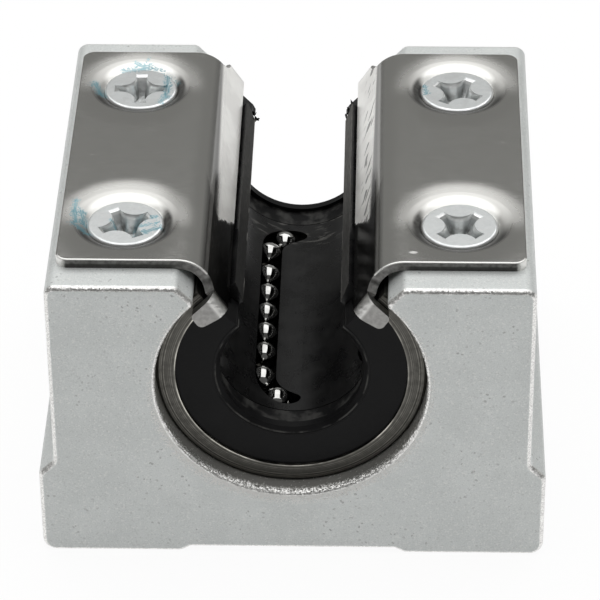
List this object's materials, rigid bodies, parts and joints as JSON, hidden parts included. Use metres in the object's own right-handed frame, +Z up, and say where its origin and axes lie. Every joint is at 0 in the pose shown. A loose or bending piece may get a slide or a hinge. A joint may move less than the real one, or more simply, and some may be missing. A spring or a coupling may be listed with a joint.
{
  "type": "open-type linear bearing block",
  "caption": "Slotted metal block that carries an open recirculating-ball bushing, so it slides along a round shaft that is supported from below along its length.",
  "frame": {"origin": "centre of the base, in the plane of its two pads", "axes": "+Y along the shaft, +Z up through the slot, +X across the block"},
  "size_m": [0.036, 0.032, 0.024],
  "materials": {
    "cast_aluminium": "blasted, matte",
    "bearing_steel": "ground",
    "polished_plate": "polished sheet steel",
    "zinc_screw": "bright zinc plate",
    "black_plastic": "moulded, satin",
    "black_rubber": "moulded, satin",
    "polished_ball": "mirror polished"
  },
  "bodies": {
    "block": {"housing": "cast_aluminium", "bearing_sleeve": "bearing_steel", "ball_retainer": "black_plastic", "end_ring_front": "bearing_steel", "end_seal_front": "black_rubber", "end_ring_rear": "bearing_steel", "end_seal_rear": "black_rubber", "retaining_plate_left": "polished_plate", "retaining_plate_right": "polished_plate", "plate_screw_front_left": "zinc_screw", "plate_screw_front_right": "zinc_screw", "plate_screw_rear_left": "zinc_screw", "plate_screw_rear_right": "zinc_screw"},
    "right_load_row": {"balls_right_load_row": "polished_ball"},
    "right_return_row": {"balls_right_return_row": "polished_ball"},
    "right_front_turn": {"balls_right_front_turn": "polished_ball"},
    "right_rear_turn": {"balls_right_rear_turn": "polished_ball"},
    "bottom_load_row": {"balls_bottom_load_row": "polished_ball"},
    "bottom_return_row": {"balls_bottom_return_row": "polished_ball"},
    "bottom_front_turn": {"balls_bottom_front_turn": "polished_ball"},
    "bottom_rear_turn": {"balls_bottom_rear_turn": "polished_ball"},
    "left_load_row": {"balls_left_load_row": "polished_ball"},
    "left_return_row": {"balls_left_return_row": "polished_ball"},
    "left_front_turn": {"balls_left_front_turn": "polished_ball"},
    "left_rear_turn": {"balls_left_rear_turn": "polished_ball"}
  },
  "joints": [
    {"name": "right_load_run", "type": "slide", "parent": "block", "child": "right_load_row", "axis": [0, 1, 0], "range_m": [0, 0.00245]},
    {"name": "right_return_run", "type": "slide", "parent": "block", "child": "right_return_row", "axis": [0, -1, 0], "range_m": [0, 0.00245]},
    {"name": "right_front_turn_run", "type": "hinge", "parent": "block", "child": "right_front_turn", "pos_m": [0.00628, -0.00785, 0.01487], "axis": [0.9491, 0, -0.3149], "range_deg": [0, 60.01]},
    {"name": "right_rear_turn_run", "type": "hinge", "parent": "block", "child": "right_rear_turn", "pos_m": [0.00628, 0.00785, 0.01487], "axis": [0.9491, 0, -0.3149], "range_deg": [0, 60.01]},
    {"name": "bottom_load_run", "type": "slide", "parent": "block", "child": "bottom_load_row", "axis": [0, 1, 0], "range_m": [0, 0.00245]},
    {"name": "bottom_return_run", "type": "slide", "parent": "block", "child": "bottom_return_row", "axis": [0, -1, 0], "range_m": [0, 0.00245]},
    {"name": "bottom_front_turn_run", "type": "hinge", "parent": "block", "child": "bottom_front_turn", "pos_m": [-0.00013, -0.00785, 0.00872], "axis": [-0.3149, 0, -0.9491], "range_deg": [0, 60.01]},
    {"name": "bottom_rear_turn_run", "type": "hinge", "parent": "block", "child": "bottom_rear_turn", "pos_m": [-0.00013, 0.00785, 0.00872], "axis": [-0.3149, 0, -0.9491], "range_deg": [0, 60.01]},
    {"name": "left_load_run", "type": "slide", "parent": "block", "child": "left_load_row", "axis": [0, 1, 0], "range_m": [0, 0.00245]},
    {"name": "left_return_run", "type": "slide", "parent": "block", "child": "left_return_row", "axis": [0, -1, 0], "range_m": [0, 0.00245]},
    {"name": "left_front_turn_run", "type": "hinge", "parent": "block", "child": "left_front_turn", "pos_m": [-0.00628, -0.00785, 0.01513], "axis": [-0.9491, 0, 0.3149], "range_deg": [0, 60.01]},
    {"name": "left_rear_turn_run", "type": "hinge", "parent": "block", "child": "left_rear_turn", "pos_m": [-0.00628, 0.00785, 0.01513], "axis": [-0.9491, 0, 0.3149], "range_deg": [0, 60.01]}
  ],
  "couplings": [
    {"joint": "right_return_run", "follows": "right_load_run", "ratio": 1},
    {"joint": "right_front_turn_run", "follows": "right_load_run", "rad_per_m": 427.35},
    {"joint": "right_rear_turn_run", "follows": "right_load_run", "rad_per_m": 427.35},
    {"joint": "bottom_return_run", "follows": "bottom_load_run", "ratio": 1},
    {"joint": "bottom_front_turn_run", "follows": "bottom_load_run", "rad_per_m": 427.35},
    {"joint": "bottom_rear_turn_run", "follows": "bottom_load_run", "rad_per_m": 427.35},
    {"joint": "left_return_run", "follows": "left_load_run", "ratio": 1},
    {"joint": "left_front_turn_run", "follows": "left_load_run", "rad_per_m": 427.35},
    {"joint": "left_rear_turn_run", "follows": "left_load_run", "rad_per_m": 427.35}
  ]
}
